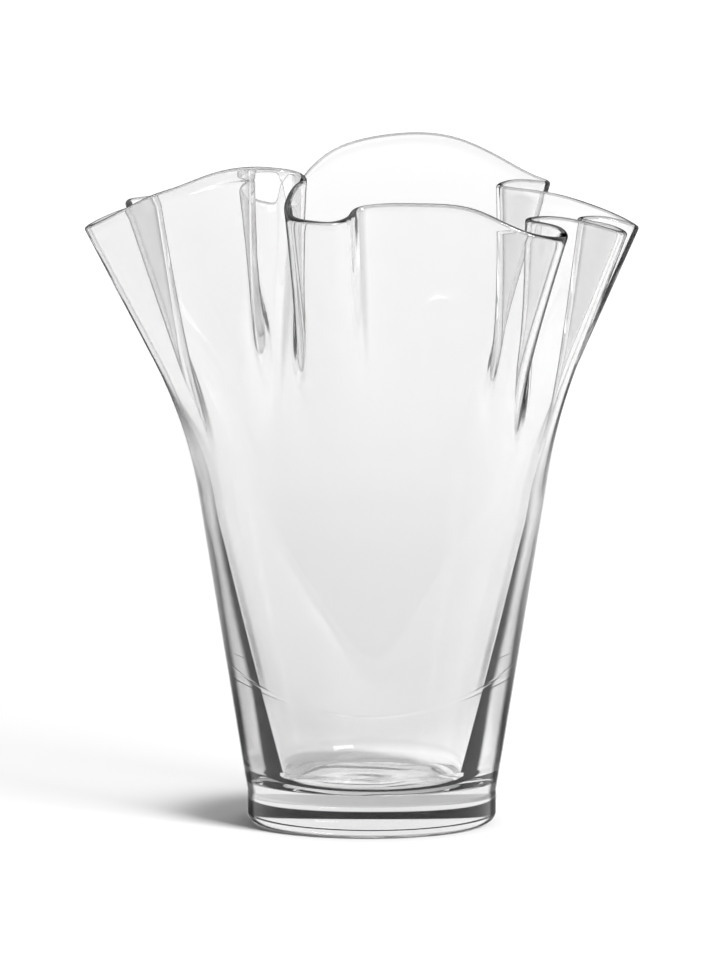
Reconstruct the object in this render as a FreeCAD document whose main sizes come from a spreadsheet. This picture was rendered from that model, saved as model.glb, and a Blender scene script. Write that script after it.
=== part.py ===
import FreeCAD, Part
import Sketcher
import math
import os

# Fan vase: one piece of clear blown glass with a folded rim, a cone-shaped body and a heavy solid foot.
# Lengths are in millimetres. The foot's underside lies on z = 0 with its centre at the origin, and the
# side with the narrow front lobe faces -Y.

V = FreeCAD.Vector
doc = FreeCAD.newDocument("fan_vase")


# Driving sizes of the glass

SIZES = {
    "vase_height": 240.0,       # foot to the highest crest of the rim
    "fan_reach": 103.0,         # axis to the tip of the widest lobe
    "foot_radius": 45.0,        # upright side of the foot
    "foot_upright": 12.1,       # height where that side runs into the cone
    "foot_edge_round": 4.0,     # fire-polished lower edge of the foot
    "floor_above_foot": 2.9,    # floor of the cavity over the top of the upright side
    "floor_corner_round": 7.0,  # rounding between the floor and the inner wall
    "fold_start": 119.0,        # height where the round body begins to fold
    "body_radius": 62.4,        # outside of the round body at that height
    "wall_at_floor": 13.6,      # thickness of the glass, level with the floor
    "wall_at_folds": 5.0,       # thickness of the glass where the folds begin
    "rim_thickness": 2.4,       # thickness of the glass at the rim
}

sheet = doc.addObject("Spreadsheet::Sheet", "Sizes")
for row, (alias, value) in enumerate(SIZES.items(), start=1):
    sheet.set(f"A{row}", alias.replace("_", " "))
    sheet.set(f"B{row}", str(value))
    sheet.setAlias(f"B{row}", alias)
doc.recompute()


def size(alias):
    """The named size as it stands in the sheet."""
    return float(sheet.get(alias))


# Foot: a thick round disc of glass whose core ends inside the solid glass under the cavity

CIRCLE_CENTRE = (0, 3)       # the centre of the sketch's first curve, as that curve and a point of it
SKETCH_ORIGIN = (-1, 1)      # the sketch's own origin, as a line and a point of it
CORE_RISE_SHARE = 0.5        # of the way from the upright side up to the floor

foot = doc.addObject("PartDesign::Body", "foot")
foot.Label = "foot_core"
ground = next(plane for plane in foot.Origin.OriginFeatures if plane.Role == "XY_Plane")

outline = foot.newObject("Sketcher::SketchObject", "foot_outline")
outline.AttachmentSupport = [(ground, "")]
outline.MapMode = "FlatFace"
outline.addGeometry(Part.Circle(V(0, 0, 0), V(0, 0, 1), size("foot_radius")))
outline.addConstraint(Sketcher.Constraint("Coincident", *CIRCLE_CENTRE, *SKETCH_ORIGIN))
outline.addConstraint(Sketcher.Constraint("Radius", 0, size("foot_radius")))
outline.renameConstraint(1, "foot_radius")
outline.setExpression("Constraints.foot_radius", "Sizes.foot_radius")

disc = foot.newObject("PartDesign::Pad", "foot_disc")
disc.Profile = outline
disc.setExpression("Length", f"Sizes.foot_upright + {CORE_RISE_SHARE} * Sizes.floor_above_foot")
doc.recompute()


def lowest_edge_name(shape):
    """Name of the edge that lies nearest the ground all round."""
    rises = [edge.BoundBox.ZMax for edge in shape.Edges]
    return f"Edge{rises.index(min(rises)) + 1}"


polish = foot.newObject("PartDesign::Fillet", "foot_edge")
polish.Base = (disc, [lowest_edge_name(disc.Shape)])
polish.setExpression("Radius", "Sizes.foot_edge_round")
doc.recompute()


# Rim: the line that the outer edge of the glass follows once it is folded

# Each place, going once round from the left tip past the front: across and back as shares of the fan's
# reach, and up as a share of the vase's height.
RIM_SHARES = (
    (-0.998, -0.035, 0.895), (-0.912, -0.157, 0.916), (-0.772, -0.300, 0.953),
    (-0.680, -0.370, 0.970), (-0.540, -0.480, 0.997), (-0.400, -0.550, 1.008),
    (-0.310, -0.562, 1.006), (-0.262, -0.540, 1.001), (-0.246, -0.572, 0.993),
    (-0.268, -0.622, 0.986), (-0.300, -0.690, 0.963), (-0.283, -0.775, 0.945),
    (-0.213, -0.830, 0.940), (-0.130, -0.838, 0.939), (-0.062, -0.770, 0.947),
    (-0.041, -0.710, 0.955), (0.030, -0.705, 0.960), (0.160, -0.745, 0.962),
    (0.326, -0.765, 0.957), (0.448, -0.770, 0.936), (0.553, -0.745, 0.917),
    (0.640, -0.695, 0.909), (0.674, -0.620, 0.910), (0.644, -0.520, 0.920),
    (0.553, -0.420, 0.925), (0.606, -0.345, 0.925), (0.750, -0.265, 0.912),
    (0.885, -0.155, 0.892), (0.830, -0.060, 0.900), (0.738, 0.000, 0.907),
    (0.830, 0.055, 0.905), (0.931, 0.112, 0.889), (0.882, 0.203, 0.898),
    (0.760, 0.335, 0.914), (0.600, 0.465, 0.926), (0.463, 0.525, 0.933),
    (0.520, 0.600, 0.938), (0.630, 0.675, 0.931), (0.575, 0.735, 0.938),
    (0.474, 0.775, 0.959), (0.318, 0.800, 0.990), (0.148, 0.811, 1.000),
    (-0.041, 0.797, 0.990), (-0.151, 0.776, 0.972), (-0.234, 0.740, 0.942),
    (-0.293, 0.710, 0.911), (-0.363, 0.685, 0.897), (-0.440, 0.650, 0.908),
    (-0.471, 0.600, 0.924), (-0.436, 0.535, 0.940), (-0.513, 0.510, 0.940),
    (-0.650, 0.460, 0.932), (-0.780, 0.370, 0.923), (-0.863, 0.270, 0.920),
    (-0.818, 0.200, 0.914), (-0.756, 0.140, 0.924), (-0.870, 0.075, 0.917),
)
ROOT_SPREAD_SHARE = 0.038    # of the way round, over which the root of a fold spreads on the round body


def rim_places():
    reach = size("fan_reach")
    return [V(x * reach, y * reach, z * size("vase_height")) for x, y, z in RIM_SHARES]


def rim_marks(rim):
    """Running measure round the rim, which grows with the square root of each step, so that the spline
    stays tight where the places lie close. The last mark closes the round."""
    marks = [0.0]
    for here, ahead in zip(rim, rim[1:] + rim[:1]):
        marks.append(marks[-1] + math.sqrt((ahead - here).Length))
    return marks


def round_spline(places, marks):
    """Closed smooth spline that passes each place at its mark."""
    spline = Part.BSplineCurve()
    spline.interpolate(Points=places, PeriodicFlag=True, Parameters=marks)
    return spline


def fold_roots(rim, marks):
    """Bearing on the round body from which each place of the rim grew: its own bearing, averaged over
    its neighbours with a bell-shaped weight, so that the bearings only ever turn one way."""
    around = marks[-1]
    turn = math.atan2(rim[0].y, rim[0].x)
    last = turn
    leans = []
    for place, mark in zip(rim, marks):
        bearing = math.atan2(place.y, place.x)
        turn += (bearing - last + math.pi) % math.tau - math.pi
        last = bearing
        leans.append(turn - math.tau * mark / around)
    spans = [(marks[i + 1] - marks[i - 1]) % around / 2 for i in range(len(rim))]
    roots = []
    for mark in marks[:-1]:
        total = 0.0
        weights = 0.0
        for other, lean, span in zip(marks, leans, spans):
            apart = (other - mark + around / 2) % around - around / 2
            weight = span * math.exp(-0.5 * (apart / (ROOT_SPREAD_SHARE * around)) ** 2)
            total += weight * lean
            weights += weight
        roots.append(math.tau * mark / around + total / weights)
    return roots


# Wall: a round cone below, and folds that set in gently above it and run straight up to the rim

RIM_LEVEL_SHARE = 0.93       # of the vase's height, mean level of the rim
FOLD_BEND_SHARE = 0.5        # of the way up the folds, over which they set in before they run straight
FOLD_THINNING_SHARE = 1.7    # power by which the wall thins up through the folds
BODY_THINNING_SHARE = 1.35   # power by which the wall thickens down to the floor
ROOT_DEPTH_SHARE = 0.45      # of the upright side, how high the wall begins inside the foot
LIP_FLAT_SHARE = 0.5         # of the rim's thickness, the flat between the two bevels of the lip
CORNER_SHARES = (0, 1 / 3, 2 / 3, 1)                      # of the quarter round between the wall and the floor
FOLD_STRIPS = 3              # strips of the folded skin between one place of the rim and the next
ROUND_STRIPS = 1             # the same for the round skin below the folds


def floor_level():
    return size("foot_upright") + size("floor_above_foot")


def cone_radius(level):
    """Outside of the unfolded cone, straight from the foot's upright side through the round body."""
    climb = size("fold_start") - size("foot_upright")
    slope = (size("body_radius") - size("foot_radius")) / climb
    return size("foot_radius") + slope * (level - size("foot_upright"))


def cavity_radius(level):
    """Inside of the round body, where the glass grows thicker from the folds down to the floor."""
    depth = (size("fold_start") - level) / (size("fold_start") - floor_level())
    growth = size("wall_at_floor") - size("wall_at_folds")
    return cone_radius(level) - size("wall_at_folds") - growth * depth ** BODY_THINNING_SHARE


def fold_wall(rise):
    """Thickness of the glass at a rise of 0 to 1 through the folds."""
    loss = size("wall_at_folds") - size("rim_thickness")
    return size("rim_thickness") + loss * (1 - rise) ** FOLD_THINNING_SHARE


def ring(radius, level, roots):
    return [V(radius * math.cos(root), radius * math.sin(root), level) for root in roots]


def fold_weight(rise):
    """Share of the rim's own line in the wall at a rise of 0 to 1: a parabola up to the bend, and from
    there on its tangent, which reaches 1 at the rim."""
    bend = FOLD_BEND_SHARE
    if rise < bend:
        return rise ** 2 / (bend * (2 - bend))
    return (2 * rise - bend) / (2 - bend)


def folded_row(rise, rim, roots):
    """Outside of the wall at a rise of 0 to 1 through the folds: the cone at that level, moved
    towards the rim's own line by the fold's weight."""
    rim_level = RIM_LEVEL_SHARE * size("vase_height")
    level = size("fold_start") + rise * (rim_level - size("fold_start"))
    unfolded = ring(cone_radius(level), level, roots)
    unfolded_rim = ring(cone_radius(rim_level), rim_level, roots)
    weight = fold_weight(rise)
    return [low + (top - mean) * weight for low, top, mean in zip(unfolded, rim, unfolded_rim)]


def inner_row(rise, rim, roots, marks):
    """Inside of the wall: the outside moved in along its normals by the thickness of the glass. A
    normal is the way along the row's own spline, crossed with the way up the wall."""
    row = folded_row(rise, rim, roots)
    near = FOLD_BEND_SHARE / 2
    below = folded_row(min(rise, FOLD_BEND_SHARE) - near, rim, roots)
    above = folded_row(max(rise, near), rim, roots)
    spline = round_spline(row, marks)
    inner = []
    for place, low, high, mark in zip(row, below, above, marks):
        out = spline.tangent(mark)[0].cross(high - low).normalize()
        inner.append(place - out * fold_wall(rise))
    return inner


def curved_through(low, middle, high):
    """The three rows of a parabola that passes a row half way between its ends."""
    return [low, [m * 2 - (a + b) * 0.5 for a, m, b in zip(low, middle, high)], high]


def lip_rows(outer, inner, below):
    """Two rows that make the lip's bevels and the flat between them, half a thickness above its edges."""
    rise = size("rim_thickness") / 2
    first = []
    second = []
    for out, within, low in zip(outer, inner, below):
        middle = (out + within) * 0.5 + (out - low).normalize() * rise
        first.append(middle + (out - within) * (LIP_FLAT_SHARE / 2))
        second.append(middle - (out - within) * (LIP_FLAT_SHARE / 2))
    return first, second


def strip_faces(rows, marks, strips):
    """Faces over a band between its first and last row, straight or curved upwards as the rows between
    them pull it, in so many strips side by side between one mark and the next."""
    splines = [round_spline(row, marks) for row in rows]
    first = splines[0]
    poles = [list(column) for column in zip(*(spline.getPoles() for spline in splines))]
    rise = len(rows) - 1
    band = Part.BSplineSurface()
    band.buildFromPolesMultsKnots(
        poles, first.getMultiplicities(), [rise + 1, rise + 1], first.getKnots(), [0, 1],
        True, False, first.Degree, rise)
    band.setUNotPeriodic()
    faces = []
    for start, end in zip(marks, marks[1:]):
        for k in range(strips):
            strip = band.copy()
            width = (end - start) / strips
            strip.segment(start + k * width, start + (k + 1) * width, 0, 1)
            faces.append(strip.toShape())
    return faces


def level_disc(faces, level):
    """Flat disc inside the level edges of a band of faces."""
    edges = [edge for face in faces for edge in face.Edges
             if abs(edge.BoundBox.ZMin - level) + abs(edge.BoundBox.ZMax - level) < size("rim_thickness") / 100]
    return Part.Face(Part.Wire(Part.__sortEdges__(edges)))


def corner_rings(roots):
    """Rings round the corner between the wall and the floor, with the ring half way up the cavity
    and the one where the folds begin before them."""
    corner = size("floor_corner_round")
    corner_top = floor_level() + corner
    levels = [size("fold_start"), (size("fold_start") + corner_top) / 2]
    rings = [ring(cavity_radius(level), level, roots) for level in levels]
    centre = cavity_radius(corner_top) - corner
    for share in CORNER_SHARES:
        turn = share * math.pi / 2
        rings.append(ring(centre + corner * math.cos(turn), corner_top - corner * math.sin(turn), roots))
    return rings


def wall_solid():
    """The skin of the wall in bands, from its hidden root inside the foot, up its outside, over the
    lip and down its inside, closed by a flat disc at the root and one at the floor."""
    rim = rim_places()
    marks = rim_marks(rim)
    roots = fold_roots(rim, marks)
    root_level = ROOT_DEPTH_SHARE * size("foot_upright")
    root_ring = ring(cone_radius(root_level), root_level, roots)
    rises = (0, FOLD_BEND_SHARE / 2, FOLD_BEND_SHARE, 1)
    outer = [folded_row(rise, rim, roots) for rise in rises]
    lower = corner_rings(roots)
    inner = [lower[0]] + [inner_row(rise, rim, roots, marks) for rise in rises[1:]]
    lip = lip_rows(outer[-1], inner[-1], outer[-2])

    folded = [curved_through(*outer[:3]), outer[2:], [outer[-1], lip[0]], list(lip), [lip[1], inner[-1]],
              inner[:1:-1], curved_through(*inner[2::-1])]
    root_skin = strip_faces([root_ring, outer[0]], marks, ROUND_STRIPS)
    fold_skin = [face for rows in folded for face in strip_faces(rows, marks, FOLD_STRIPS)]
    cavity_skin = [face for rows in zip(lower, lower[1:]) for face in strip_faces(rows, marks, ROUND_STRIPS)]
    discs = [level_disc(root_skin, root_level), level_disc(cavity_skin, floor_level())]
    shell = Part.Shell(root_skin + fold_skin + cavity_skin + discs)
    shell.sewShape()
    solid = Part.Solid(shell)
    if solid.Volume < 0:
        solid.reverse()
    return solid


wall = doc.addObject("Part::Feature", "blown_wall")
wall.Label = "blown_wall_form"
wall.Shape = wall_solid()


# Vase: foot and wall are one piece of glass

vase = doc.addObject("Part::Fuse", "glass_vase")
vase.Label = "glass_vase"
vase.Base = foot
vase.Tool = wall
doc.recompute()


# Checks before anything is written

for obj in doc.Objects:
    if "Invalid" in obj.State or "Error" in obj.State:
        raise RuntimeError(f"{obj.Name} failed: {obj.State}")
for part in (vase,):
    if part.Shape.isNull() or not part.Shape.isValid():
        raise RuntimeError(f"{part.Name} has no sound shape")
    print(part.Label, "solids", len(part.Shape.Solids), "faces", len(part.Shape.Faces),
          "volume", round(part.Shape.Volume), "box", part.Shape.BoundBox)

os.makedirs("parts", exist_ok=True)
for part in (vase,):
    part.Shape.exportStep(f"parts/{part.Label}.step")
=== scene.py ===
import math

import bpy
import numpy as np
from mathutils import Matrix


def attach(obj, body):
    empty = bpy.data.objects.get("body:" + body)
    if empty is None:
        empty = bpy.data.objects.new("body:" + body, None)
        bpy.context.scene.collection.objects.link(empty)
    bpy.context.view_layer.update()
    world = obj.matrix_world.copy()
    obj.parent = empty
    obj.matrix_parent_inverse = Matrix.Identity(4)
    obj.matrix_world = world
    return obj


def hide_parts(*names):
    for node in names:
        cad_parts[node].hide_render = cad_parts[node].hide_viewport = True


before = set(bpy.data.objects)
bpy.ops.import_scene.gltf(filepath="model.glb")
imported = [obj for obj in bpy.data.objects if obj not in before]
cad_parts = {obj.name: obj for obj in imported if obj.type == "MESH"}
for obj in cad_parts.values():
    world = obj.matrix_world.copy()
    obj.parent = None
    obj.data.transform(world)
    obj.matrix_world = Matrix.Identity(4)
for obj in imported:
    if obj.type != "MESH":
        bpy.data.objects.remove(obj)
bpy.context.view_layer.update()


# Glass vase
# One gather of clear, colourless glass: a heavy solid foot, blown into a cone above it, and spun open
# hot so that its rim fell into deep free folds. The rim is fire-polished, so every edge is round.

VASE_HEIGHT = 0.240
FAN_REACH = 0.103
FOOT_RADIUS = 0.045
FOOT_UPRIGHT = 0.0121
FOOT_EDGE_ROUND = 0.004
FLOOR_LEVEL = 0.015
FLOOR_CORNER_ROUND = 0.007
FOLD_START = 0.119
BODY_RADIUS = 0.0624
WALL_AT_FLOOR = 0.0136
WALL_AT_FOLDS = 0.005
RIM_THICKNESS = 0.0024
RIM_LEVEL = 0.93 * VASE_HEIGHT
FOLD_BEND = 0.5              # share of the way up the folds, where they begin to run straight
FOLD_THINNING = 1.7          # powers by which the wall thins up the folds and up the body
BODY_THINNING = 1.35
ROOT_SPREAD = 0.038          # share of the way round over which the folds' roots are averaged

# Places that the rim's outer edge passes, once round from the left tip past the front: across and back
# as shares of the fan's reach, and up as a share of the vase's height.
RIM = np.array([
    (-0.998, -0.035, 0.895), (-0.912, -0.157, 0.916), (-0.772, -0.300, 0.953),
    (-0.680, -0.370, 0.970), (-0.540, -0.480, 0.997), (-0.400, -0.550, 1.008),
    (-0.310, -0.562, 1.006), (-0.262, -0.540, 1.001), (-0.246, -0.572, 0.993),
    (-0.268, -0.622, 0.986), (-0.300, -0.690, 0.963), (-0.283, -0.775, 0.945),
    (-0.213, -0.830, 0.940), (-0.130, -0.838, 0.939), (-0.062, -0.770, 0.947),
    (-0.041, -0.710, 0.955), (0.030, -0.705, 0.960), (0.160, -0.745, 0.962),
    (0.326, -0.765, 0.957), (0.448, -0.770, 0.936), (0.553, -0.745, 0.917),
    (0.640, -0.695, 0.909), (0.674, -0.620, 0.910), (0.644, -0.520, 0.920),
    (0.553, -0.420, 0.925), (0.606, -0.345, 0.925), (0.750, -0.265, 0.912),
    (0.885, -0.155, 0.892), (0.830, -0.060, 0.900), (0.738, 0.000, 0.907),
    (0.830, 0.055, 0.905), (0.931, 0.112, 0.889), (0.882, 0.203, 0.898),
    (0.760, 0.335, 0.914), (0.600, 0.465, 0.926), (0.463, 0.525, 0.933),
    (0.520, 0.600, 0.938), (0.630, 0.675, 0.931), (0.575, 0.735, 0.938),
    (0.474, 0.775, 0.959), (0.318, 0.800, 0.990), (0.148, 0.811, 1.000),
    (-0.041, 0.797, 0.990), (-0.151, 0.776, 0.972), (-0.234, 0.740, 0.942),
    (-0.293, 0.710, 0.911), (-0.363, 0.685, 0.897), (-0.440, 0.650, 0.908),
    (-0.471, 0.600, 0.924), (-0.436, 0.535, 0.940), (-0.513, 0.510, 0.940),
    (-0.650, 0.460, 0.932), (-0.780, 0.370, 0.923), (-0.863, 0.270, 0.920),
    (-0.818, 0.200, 0.914), (-0.756, 0.140, 0.924), (-0.870, 0.075, 0.917),
]) * (FAN_REACH, FAN_REACH, VASE_HEIGHT)

STATIONS = 10 * len(RIM)     # round the glass
FOLD_STEPS = 36              # up the folds
LIP_STEPS = 8                # over the lip
BODY_RINGS = 14              # from the foot, or from the cavity's floor, up to the folds
EDGE_RINGS = 24              # round the foot's lower edge
CORNER_RINGS = 10            # round the corner of the cavity's floor
FLAT_RINGS = 8               # across the underside, and across the floor
MIDDLE_RING = 0.001          # radius of the smallest ring

# Close rings beside a rounding, and on both sides of the crease over the foot, keep the shading there
# from bending what joins it.
KEEP_FLAT = np.array([0.0001, 0.0004])
KEEP_CREASE = np.array([-0.0006, -0.0002, 0.0002, 0.0006])

WIDE_BEND = 90               # one over the bend's radius in metres
TIGHT_BEND = 260
FOLD_PAINTED_LINE = 0.4              # shares in the painted dark lines, of the tightest folds and of the lip
LIP_PAINTED_LINE = 0.55


def closed_marks(places):
    """Running measure round a closed line: each step adds the square root of its own length."""
    steps = np.sqrt(np.linalg.norm(np.roll(places, -1, 0) - places, axis=1))
    return np.concatenate([[0.0], np.cumsum(steps)])


def closed_spline(marks, stations):
    """Matrix that carries values at the marks of a closed line to evenly spaced stations along it: the
    smooth cubic whose second slopes solve one three-term equation at each mark."""
    count = len(marks) - 1
    one = np.eye(count)
    steps = np.diff(marks)
    before = np.roll(steps, 1)
    ahead = np.roll(one, 1, 1)
    behind = np.roll(one, -1, 1)
    bend = before[:, None] * behind + 2 * (before + steps)[:, None] * one + steps[:, None] * ahead
    rise = (ahead - one) / steps[:, None] - (one - behind) / before[:, None]
    second = np.linalg.solve(bend, 6 * rise)
    at = np.arange(stations) / stations * marks[-1]
    span = np.searchsorted(marks, at, side="right") - 1
    after = (span + 1) % count
    width = steps[span][:, None]
    gone = (at - marks[span])[:, None]
    left = width - gone
    curve = (second[span] * left ** 3 + second[after] * gone ** 3) / (6 * width)
    curve += (one[span] / width - second[span] * width / 6) * left
    return curve + (one[after] / width - second[after] * width / 6) * gone


def fold_bearings(places, marks):
    """Bearing on the round body from which each place of the rim grew: its own bearing, averaged over
    its neighbours with a bell-shaped weight."""
    turn = math.tau * marks[:-1] / marks[-1]
    lean = np.unwrap(np.arctan2(places[:, 1], places[:, 0])) - turn
    span = (np.diff(marks) + np.roll(np.diff(marks), 1)) / 2
    apart = marks[None, :-1] - marks[:-1, None]
    apart = (apart + marks[-1] / 2) % marks[-1] - marks[-1] / 2
    weight = span * np.exp(-0.5 * (apart / (ROOT_SPREAD * marks[-1])) ** 2)
    return turn + (weight * lean).sum(1) / weight.sum(1)


def cone_radius(level):
    """Outside of the unfolded cone: a straight line through the foot's side and the round body."""
    slope = (BODY_RADIUS - FOOT_RADIUS) / (FOLD_START - FOOT_UPRIGHT)
    return FOOT_RADIUS + slope * (level - FOOT_UPRIGHT)


def body_wall(level):
    """Thickness of the round wall, growing as a power of the depth below the folds."""
    depth = np.clip((FOLD_START - level) / (FOLD_START - FLOOR_LEVEL), 0, None)
    return WALL_AT_FOLDS + (WALL_AT_FLOOR - WALL_AT_FOLDS) * depth ** BODY_THINNING


def round_rows(radii, levels, ways):
    """Level rings, one for each pair of radius and height, over unit vectors that point outwards."""
    rows = np.asarray(radii)[:, None, None] * ways
    rows[:, :, 2] = np.asarray(levels)[:, None]
    return rows


def folded_rows(rises):
    """Outside of the wall at rises of 0 to 1, and the way out at each station: the cone at that level,
    moved towards the rim's own line by a weight that is a parabola up to the bend, and from there on
    its tangent, which reaches 1 at the rim."""
    marks = closed_marks(RIM)
    carry = closed_spline(marks, STATIONS)
    roots = fold_bearings(RIM, marks)
    ways = np.stack([np.cos(roots), np.sin(roots), 0 * roots], -1)
    levels = FOLD_START + rises * (RIM_LEVEL - FOLD_START)
    parabola = rises ** 2 / (FOLD_BEND * (2 - FOLD_BEND))
    weight = np.where(rises < FOLD_BEND, parabola, (2 * rises - FOLD_BEND) / (2 - FOLD_BEND))
    unfolded = round_rows(cone_radius(levels), levels, ways)
    top = round_rows([cone_radius(RIM_LEVEL)], [RIM_LEVEL], ways)[0]
    rows = unfolded + weight[:, None, None] * (RIM - top)
    ways = carry @ ways
    return np.einsum("sp,rpc->rsc", carry, rows), ways / np.linalg.norm(ways, axis=1, keepdims=True)


def outward(rows):
    """Unit normals of a grid of rows: the way round crossed with the way up."""
    along = np.roll(rows, -1, 1) - np.roll(rows, 1, 1)
    up = np.gradient(rows, axis=0)
    normal = np.cross(along, up)
    return normal / np.linalg.norm(normal, axis=2, keepdims=True)


def tight_bends(rows):
    """Share of 0 to 1 that says how tightly a row bends: its turn of heading over its own length, set
    between the widest bend that gets a painted dark line and the tightest, and eased at both ends."""
    along = np.roll(rows, -1, 1) - rows
    heading = np.arctan2(along[:, :, 1], along[:, :, 0])
    turn = (heading - np.roll(heading, 1, 1) + math.pi) % math.tau - math.pi
    length = np.linalg.norm(along, axis=2)
    bend = np.abs(turn) / (length + np.roll(length, 1, 1)) * 2
    share = np.clip((bend - WIDE_BEND) / (TIGHT_BEND - WIDE_BEND), 0, 1)
    return share * share * (3 - 2 * share)


def foot_rows(ways):
    """Underside of the foot, a quarter circle round its lower edge, its upright side, and the cone above
    it up to the folds."""
    turn = np.linspace(0, math.pi / 2, EDGE_RINGS)
    under = FOOT_RADIUS - FOOT_EDGE_ROUND
    flat = np.concatenate([np.linspace(MIDDLE_RING, under, FLAT_RINGS)[:-1], under - KEEP_FLAT[::-1]])
    side = FOOT_EDGE_ROUND + KEEP_FLAT
    climb = np.linspace(FOOT_UPRIGHT, FOLD_START, BODY_RINGS)[1:-1]
    climb = np.concatenate([FOOT_UPRIGHT + KEEP_CREASE, climb])
    radii = [flat, under + FOOT_EDGE_ROUND * np.sin(turn), np.full(len(side), FOOT_RADIUS),
             np.where(climb < FOOT_UPRIGHT, FOOT_RADIUS, cone_radius(climb))]
    levels = [0 * flat, FOOT_EDGE_ROUND * (1 - np.cos(turn)), side, climb]
    return round_rows(np.concatenate(radii), np.concatenate(levels), ways)


def lip_rows(outer, inner, out):
    """Half a circle over the rim, from the outside to the inside, about the middle of the wall's top."""
    turn = np.linspace(0, math.pi, LIP_STEPS + 1)[1:-1, None, None]
    up = outer[-1] - outer[-2]
    up /= np.linalg.norm(up, axis=1, keepdims=True)
    middle = (outer[-1] + inner[-1]) / 2
    return middle + RIM_THICKNESS / 2 * (np.cos(turn) * out[-1] + np.sin(turn) * up)


def cavity_rows(ways):
    """Inside of the round wall from the folds down, a quarter circle in the floor's corner, and the flat
    floor to its middle."""
    corner_top = FLOOR_LEVEL + FLOOR_CORNER_ROUND
    centre = cone_radius(corner_top) - body_wall(corner_top) - FLOOR_CORNER_ROUND
    turn = np.linspace(0, math.pi / 2, CORNER_RINGS)[1:]
    drop = np.linspace(FOLD_START, corner_top, BODY_RINGS)[1:-1]
    drop = np.concatenate([drop, corner_top + KEEP_FLAT[::-1], [corner_top]])
    flat = np.concatenate([centre - KEEP_FLAT, np.linspace(centre, MIDDLE_RING, FLAT_RINGS)[1:]])
    radii = [cone_radius(drop) - body_wall(drop), centre + FLOOR_CORNER_ROUND * np.cos(turn), flat]
    levels = [drop, corner_top - FLOOR_CORNER_ROUND * np.sin(turn), np.full(len(flat), FLOOR_LEVEL)]
    return round_rows(np.concatenate(radii), np.concatenate(levels), ways)


def vase_rows():
    """The whole skin as rows of stations, from the middle of the underside up the outside, over the lip
    and down the inside to the middle of the floor, and each point's share in the painted dark lines. Up the
    folds the wall thins as a power of what is left of the way."""
    rises = np.linspace(0, 1, FOLD_STEPS + 1)
    outer, ways = folded_rows(rises)
    out = outward(outer)
    wall = RIM_THICKNESS + (WALL_AT_FOLDS - RIM_THICKNESS) * (1 - rises) ** FOLD_THINNING
    inner = outer - out * wall[:, None, None]
    lip = lip_rows(outer, inner, out)
    below, inside = foot_rows(ways), cavity_rows(ways)
    rows = [below, outer, lip, inner[::-1], inside]
    shares = [np.zeros(below.shape[:2]), FOLD_PAINTED_LINE * tight_bends(outer), np.full(lip.shape[:2], LIP_PAINTED_LINE),
              np.zeros(inner.shape[:2]), np.zeros(inside.shape[:2])]
    return np.concatenate(rows), np.concatenate(shares).astype(np.float32)


def skin_mesh(name, rows, shares):
    """Mesh over a closed grid of rows: four-sided faces between neighbours, and one flat face at each
    end. The attribute line holds each point's share in the painted dark lines."""
    count, stations = rows.shape[:2]
    here = np.arange(stations)
    ahead = np.roll(here, -1)
    base = (np.arange(count - 1) * stations)[:, None]
    quads = np.stack([base + here, base + ahead, base + stations + ahead, base + stations + here], -1)
    last = (count - 1) * stations
    faces = quads.reshape(-1, 4).tolist() + [here[::-1].tolist(), (last + here).tolist()]
    mesh = bpy.data.meshes.new(name)
    mesh.from_pydata(rows.reshape(-1, 3).tolist(), [], faces)
    mesh.polygons.foreach_set("use_smooth", np.ones(len(faces), dtype=bool))
    mesh.attributes.new("line", "FLOAT", "POINT").data.foreach_set("value", shares.ravel())
    mesh.update()
    return mesh


vase = bpy.data.objects.new("glass_vase_blown", skin_mesh("glass_vase_blown", *vase_rows()))
bpy.context.collection.objects.link(vase)
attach(vase, "root")
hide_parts("glass_vase")


class Term:
    """A shader socket that can be used in a Python expression: each operator adds its Math node."""

    def __init__(self, tree, socket=None):
        self.tree = tree
        self.socket = socket

    def node(self, kind, values, output=0, **settings):
        """New node of a kind, with its settings first and then its sockets' values or links."""
        node = self.tree.nodes.new(kind)
        for name, value in settings.items():
            setattr(node, name, value)
        for place, value in values.items():
            if isinstance(value, Term):
                value.into(node.inputs[place])
            else:
                node.inputs[place].default_value = value
        return Term(self.tree, node.outputs[output])

    def into(self, socket):
        """Link to a socket of a node that is already there."""
        self.tree.links.new(self.socket, socket)

    def math(self, operation, first, second=0.0):
        return self.node("ShaderNodeMath", {0: first, 1: second}, operation=operation)

    def __add__(self, other):
        return self.math("ADD", self, other)

    def __radd__(self, other):
        return self.math("ADD", other, self)

    def __sub__(self, other):
        return self.math("SUBTRACT", self, other)

    def __rsub__(self, other):
        return self.math("SUBTRACT", other, self)

    def __mul__(self, other):
        return self.math("MULTIPLY", self, other)

    def __rmul__(self, other):
        return self.math("MULTIPLY", other, self)


def step(value, low, high, first=0.0, last=1.0):
    """Smooth change from the first number to the last while a value goes from low to high."""
    values = {"Value": value, "From Min": low, "From Max": high, "To Min": first, "To Max": last}
    return value.node("ShaderNodeMapRange", values, interpolation_type="SMOOTHSTEP")


def coordinate(place, axis):
    """One of the three numbers of a place."""
    return place.node("ShaderNodeSeparateXYZ", {0: place}, output=axis)


WHITE = (1, 1, 1, 1)
BLACK = (0, 0, 0, 1)
GLASS_TINT = (0.945, 0.945, 0.945, 1)
GLASS_INDEX = 1.5
GLASS_DARKENING = 7.0        # absorption a metre

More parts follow.
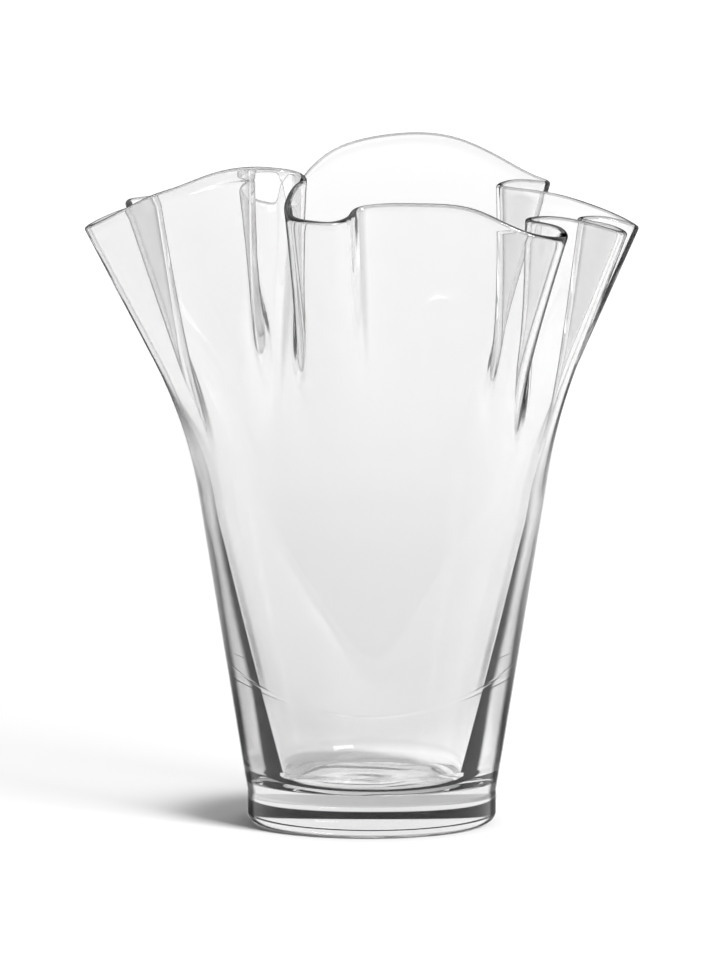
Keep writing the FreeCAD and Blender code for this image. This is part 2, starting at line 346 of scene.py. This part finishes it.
glass = bpy.data.materials.new("clear_glass")
glass.use_nodes = True
ends = glass.node_tree.nodes["Material Output"]
shader = glass.node_tree.nodes["Principled BSDF"]
shader.inputs["Base Color"].default_value = GLASS_TINT
shader.inputs["Roughness"].default_value = 0.0
shader.inputs["IOR"].default_value = GLASS_INDEX
shader.inputs["Transmission Weight"].default_value = 1.0
start = Term(glass.node_tree)  # has no socket, and only makes the first nodes
depth = start.node("ShaderNodeVolumeAbsorption", {"Color": BLACK, "Density": GLASS_DARKENING})
depth.into(ends.inputs["Volume"])

place = start.node("ShaderNodeTexCoord", {}, output="Object")
level = coordinate(place, "Z")
flat_place = start.node("ShaderNodeVectorMath", {0: place, 1: (1, 1, 0)}, operation="MULTIPLY")
reach = start.node("ShaderNodeVectorMath", {0: flat_place}, output="Value", operation="LENGTH")
facing = start.node("ShaderNodeLayerWeight", {"Blend": 0.5}, output="Facing")
mirror = start.node("ShaderNodeFresnel", {"IOR": GLASS_INDEX})

# Painted shade: dark bands in the wall, painted by mixing the glass with black where light is turned back
# inside the glass and the skin is met squarely enough. How squarely changes with the height, as the wall
# does.
# Heights are in metres.
ALL_TURNED_BACK = 0.99
SWING_A_METRE = 0.55
SWING_TOP = 0.115
SWING_AT_FLOOR = 0.05
OVER_FLOOR = (0.015, 0.055)
BAND_SWING = (0.315, 0.345)
PAINTED_BAND_DARKNESS = 0.98
BAND_FADES = (0.10, 0.14)
BAND_LEFT = 0.3              # share of the band that goes on into the folds
OVER_FOOT_EDGE = (0.005, 0.011)
turned = start.math("GREATER_THAN", mirror, ALL_TURNED_BACK)
swing = facing + start.math("MINIMUM", level, SWING_TOP) * SWING_A_METRE
swing = swing - step(level, *OVER_FLOOR, SWING_AT_FLOOR, 0.0)
band = turned * step(swing, *BAND_SWING, PAINTED_BAND_DARKNESS, 0.0)
band = band * step(level, *BAND_FADES, 1.0, BAND_LEFT) * step(level, *OVER_FOOT_EDGE)

# Painted shade: a dark outline, painted by mixing the glass with black where the skin is seen nearly edge
# on, at the foot and in the folds more than on the body between them. It stays off the underside and off the
# floor, which lie nearer the middle.
EDGE_BEGINS = (0.64, 0.74)
EDGE_ENDS = (0.84, 0.93)
PAINTED_EDGE_DARKNESS = 0.8
EDGE_FADES = (0.03, 0.10)
EDGE_RETURNS = (0.125, 0.16)
EDGE_ON_BODY = 0.15
OUTSIDE_FLOOR = (0.038, 0.044)
low_and_high = start.math("MAXIMUM", step(level, *EDGE_FADES, 1.0, EDGE_ON_BODY), step(level, *EDGE_RETURNS))
edge = step(facing, *EDGE_BEGINS, 0.0, PAINTED_EDGE_DARKNESS) * step(facing, *EDGE_ENDS, 1.0, 0.0)
edge = edge * low_and_high * (1 - turned) * step(reach, *OUTSIDE_FLOOR)

# Painted shade: dark lines along the lip and in the tightest folds, from the mesh, painted by mixing the
# glass with black.
PAINTED_LINE_DARKNESS = 0.55
line = start.node("ShaderNodeAttribute", {}, output="Fac", attribute_name="line")
line = line * (1 - turned) * PAINTED_LINE_DARKNESS

# Uneven skin: soft rings on the floor of the cavity, a faint raised line that climbs to both sides round
# the front of the lower body, and a slight waviness all over.
RINGS_A_METRE = 520.0        # in radians
RIPPLE_SCALE = 40.0
RIPPLE = 16.0
RING_HEIGHT = 0.7
ABOVE_FLOOR = (0.0145, 0.0149)
FLOOR_ZONE_TOP = (0.019, 0.025)
FLOOR_ZONE_RIM = (0.032, 0.038)
SEAM_LEVEL = 0.0445
SEAM_CLIMB = 5.6             # metres up for a metre across, squared
SEAM_WIDTH = (0.0002, 0.0006)
SEAM_HEIGHT = 0.18
FRONT_HALF = (-0.01, 0.0)
SKIN_SCALE = 28.0
SKIN_HEIGHT = 0.8
BUMP = 0.0002
ripple = start.node("ShaderNodeTexNoise", {"Vector": place, "Scale": RIPPLE_SCALE, "Detail": 0.0})
skin = start.node("ShaderNodeTexNoise", {"Vector": place, "Scale": SKIN_SCALE, "Detail": 0.0})
rings = start.math("SINE", reach * RINGS_A_METRE + ripple * RIPPLE)
well = step(level, *ABOVE_FLOOR) * step(level, *FLOOR_ZONE_TOP, 1.0, 0.0)
well = well * step(reach, *FLOOR_ZONE_RIM, 1.0, 0.0)
across = coordinate(place, "X")
seam = start.math("ABSOLUTE", level - SEAM_LEVEL - across * across * SEAM_CLIMB)
seam = step(seam, *SEAM_WIDTH, 1.0, 0.0) * step(coordinate(place, "Y"), *FRONT_HALF, 1.0, 0.0)
height = rings * well * RING_HEIGHT + seam * SEAM_HEIGHT + skin * SKIN_HEIGHT
soft = start.node("ShaderNodeBump", {"Strength": 1.0, "Distance": BUMP, "Height": height})
soft.into(shader.inputs["Normal"])

# Light passes the wall on its way to the table, and is stopped by the outer foot, which also looks black
# to the light that the table scatters. A path that has turned too often ends in painted light: the glass
# glows soft white there.
MOST_TURNS = 6.5
PAINTED_DEEP_GLOW = 0.85
FOOT_TOP = (0.012, 0.03)
STOPPED_BY_FOOT = 1.0
STOPPED_ELSEWHERE = 0.015
scattered = start.node("ShaderNodeLightPath", {}, output="Is Diffuse Ray")
shadow = start.node("ShaderNodeLightPath", {}, output="Is Shadow Ray")
turns = start.node("ShaderNodeLightPath", {}, output="Ray Depth")
black = start.node("ShaderNodeBsdfDiffuse", {"Color": BLACK})
clear = start.node("ShaderNodeBsdfTransparent", {"Color": WHITE})
painted_deep_glow = start.node("ShaderNodeEmission", {"Color": WHITE, "Strength": PAINTED_DEEP_GLOW})
thick = step(level, *FOOT_TOP, STOPPED_BY_FOOT, STOPPED_ELSEWHERE)
thick = thick * step(reach, *OUTSIDE_FLOOR, STOPPED_ELSEWHERE, STOPPED_BY_FOOT)
# Painted shade: the bands, the outline and the lines are painted by mixing the glass with plain black.
dark = start.math("MAXIMUM", band + edge + line, scattered)
passing = start.math("MAXIMUM", shadow, scattered) * (1 - thick)
deep = start.math("GREATER_THAN", turns, MOST_TURNS)
lined = start.node("ShaderNodeMixShader", {0: dark, 1: Term(glass.node_tree, shader.outputs[0]), 2: black})
lit = start.node("ShaderNodeMixShader", {0: passing, 1: lined, 2: clear})
start.node("ShaderNodeMixShader", {0: deep, 1: lit, 2: painted_deep_glow}).into(ends.inputs["Surface"])
vase.data.materials.append(glass)


# Table
# A wide pale table top, plain and matt. It glows a little, more so far away, so that it stays white
# behind the vase. Seen through the glass it has painted light near the foot and painted shade further back.
# The foot stands over it by a fifth of a millimetre, which keeps the two faces apart.

TABLE_REACH = 12.0
TABLE_GAP = 0.0002
PAPER_TINT = (0.8, 0.8, 0.8, 1)
GLOW = 0.07
GLOW_A_METRE = 0.335
PAINTED_LIGHT_UNDER_GLASS = 0.35      # painted light: more where it is seen through the glass near the foot
UNDER_GLASS = (0.05, 0.14)   # metres from the middle
PAINTED_SHADE_THROUGH_GLASS = 0.1      # painted shade: less where it is seen through the glass, fading out further off
BEHIND_GLASS = (0.4, 1.0)

corners = [(x * TABLE_REACH, y * TABLE_REACH, -TABLE_GAP) for x, y in ((-1, -1), (1, -1), (1, 1), (-1, 1))]
table_mesh = bpy.data.meshes.new("table")
table_mesh.from_pydata(corners, [], [(0, 1, 2, 3)])
table = bpy.data.objects.new("table", table_mesh)
bpy.context.collection.objects.link(table)

paper = bpy.data.materials.new("white_paper")
paper.use_nodes = True
shader = paper.node_tree.nodes["Principled BSDF"]
shader.inputs["Base Color"].default_value = PAPER_TINT
shader.inputs["Roughness"].default_value = 1.0
shader.inputs["Specular IOR Level"].default_value = 0.0
shader.inputs["Emission Strength"].default_value = 1.0
start = Term(paper.node_tree)
place = start.node("ShaderNodeTexCoord", {}, output="Object")
away = start.node("ShaderNodeVectorMath", {0: place}, output="Value", operation="LENGTH")
# Painted light and painted shade that only the glass shows: lighter near the foot, darker further back.
through = 1 - start.node("ShaderNodeLightPath", {}, output="Is Camera Ray")
change = step(away, *UNDER_GLASS, PAINTED_LIGHT_UNDER_GLASS, 0.0) - step(away, *BEHIND_GLASS, PAINTED_SHADE_THROUGH_GLASS, 0.0)
glow = GLOW + away * GLOW_A_METRE + through * change
# A Mix node's colours are its sockets 6 and 7, and its coloured result is output 2.
glow = start.node("ShaderNodeMix", {0: glow, 6: BLACK, 7: WHITE}, output=2, data_type="RGBA")
glow.into(shader.inputs["Emission Color"])
table_mesh.materials.append(paper)


# Light
# A soft square lamp in front on the right, which throws the shadow back to the left, and a weak one
# overhead. The surround is bright behind the vase and dim in front of it, and only glass reads it.

KEY_POWER = 260
FILL_POWER = 17
SKY_TURN = (-0.6, 0.6)       # between a direction of -1, straight in front, and 1, straight behind
SKY_IN_FRONT = 0.3
SKY_BEHIND = 1.6


def soft_light(name, place, aim, side, power):
    """Square lamp at a place, turned so that it faces the aim."""
    light = bpy.data.lights.new(name, "AREA")
    light.shape = "RECTANGLE"
    light.size = side
    light.size_y = side
    light.energy = power
    lamp = bpy.data.objects.new(name, light)
    lamp.location = place
    way = np.array(aim) - np.array(place)
    tilt = math.atan2(math.hypot(way[0], way[1]), -way[2])
    lamp.rotation_euler = (tilt, 0, math.atan2(way[1], way[0]) - math.pi / 2)
    bpy.context.collection.objects.link(lamp)


soft_light("key", (2.1, -2.3, 1.7), (0, 0, 0), 1.2, KEY_POWER)
soft_light("fill", (0, 0.3, 2.2), (0, 0.3, 0), 1.6, FILL_POWER)

world = bpy.data.worlds.new("surround")
bpy.context.scene.world = world
world.use_nodes = True
world.cycles_visibility.diffuse = False
backdrop = world.node_tree.nodes["Background"]
backdrop.inputs["Color"].default_value = WHITE
way = Term(world.node_tree).node("ShaderNodeTexCoord", {}, output="Generated")
step(coordinate(way, "Y"), *SKY_TURN, SKY_IN_FRONT, SKY_BEHIND).into(backdrop.inputs["Strength"])
bpy.context.scene.view_settings.view_transform = "Standard"


# Camera
# A long lens a little above the rim's height, looking slightly down, as in the photograph. The vase
# stands a little right of the frame's middle, and below it.

CAMERA_BACK = 4.9
CAMERA_LEVEL = 0.75
AIM_LEVEL = 0.12
METRES_A_PIXEL = 0.00036     # at the vase's axis
FRAME_ROWS = 960
ROWS_BELOW_MIDDLE = 11.0
COLUMNS_RIGHT_OF_MIDDLE = 11.8
SENSOR_HEIGHT = 36.0
FAR_END = 50

camera_data = bpy.data.cameras.new("camera")
camera = bpy.data.objects.new("camera", camera_data)
drop = CAMERA_LEVEL - AIM_LEVEL
camera.location = (0, -CAMERA_BACK, CAMERA_LEVEL)
camera.rotation_euler = (math.pi / 2 - math.atan2(drop, CAMERA_BACK), 0, 0)
camera_data.sensor_fit = "VERTICAL"
camera_data.sensor_height = SENSOR_HEIGHT
camera_data.lens = SENSOR_HEIGHT * math.hypot(CAMERA_BACK, drop) / METRES_A_PIXEL / FRAME_ROWS
camera_data.shift_x = -COLUMNS_RIGHT_OF_MIDDLE / FRAME_ROWS
camera_data.shift_y = ROWS_BELOW_MIDDLE / FRAME_ROWS
camera_data.clip_end = FAR_END
bpy.context.collection.objects.link(camera)
bpy.context.scene.camera = camera
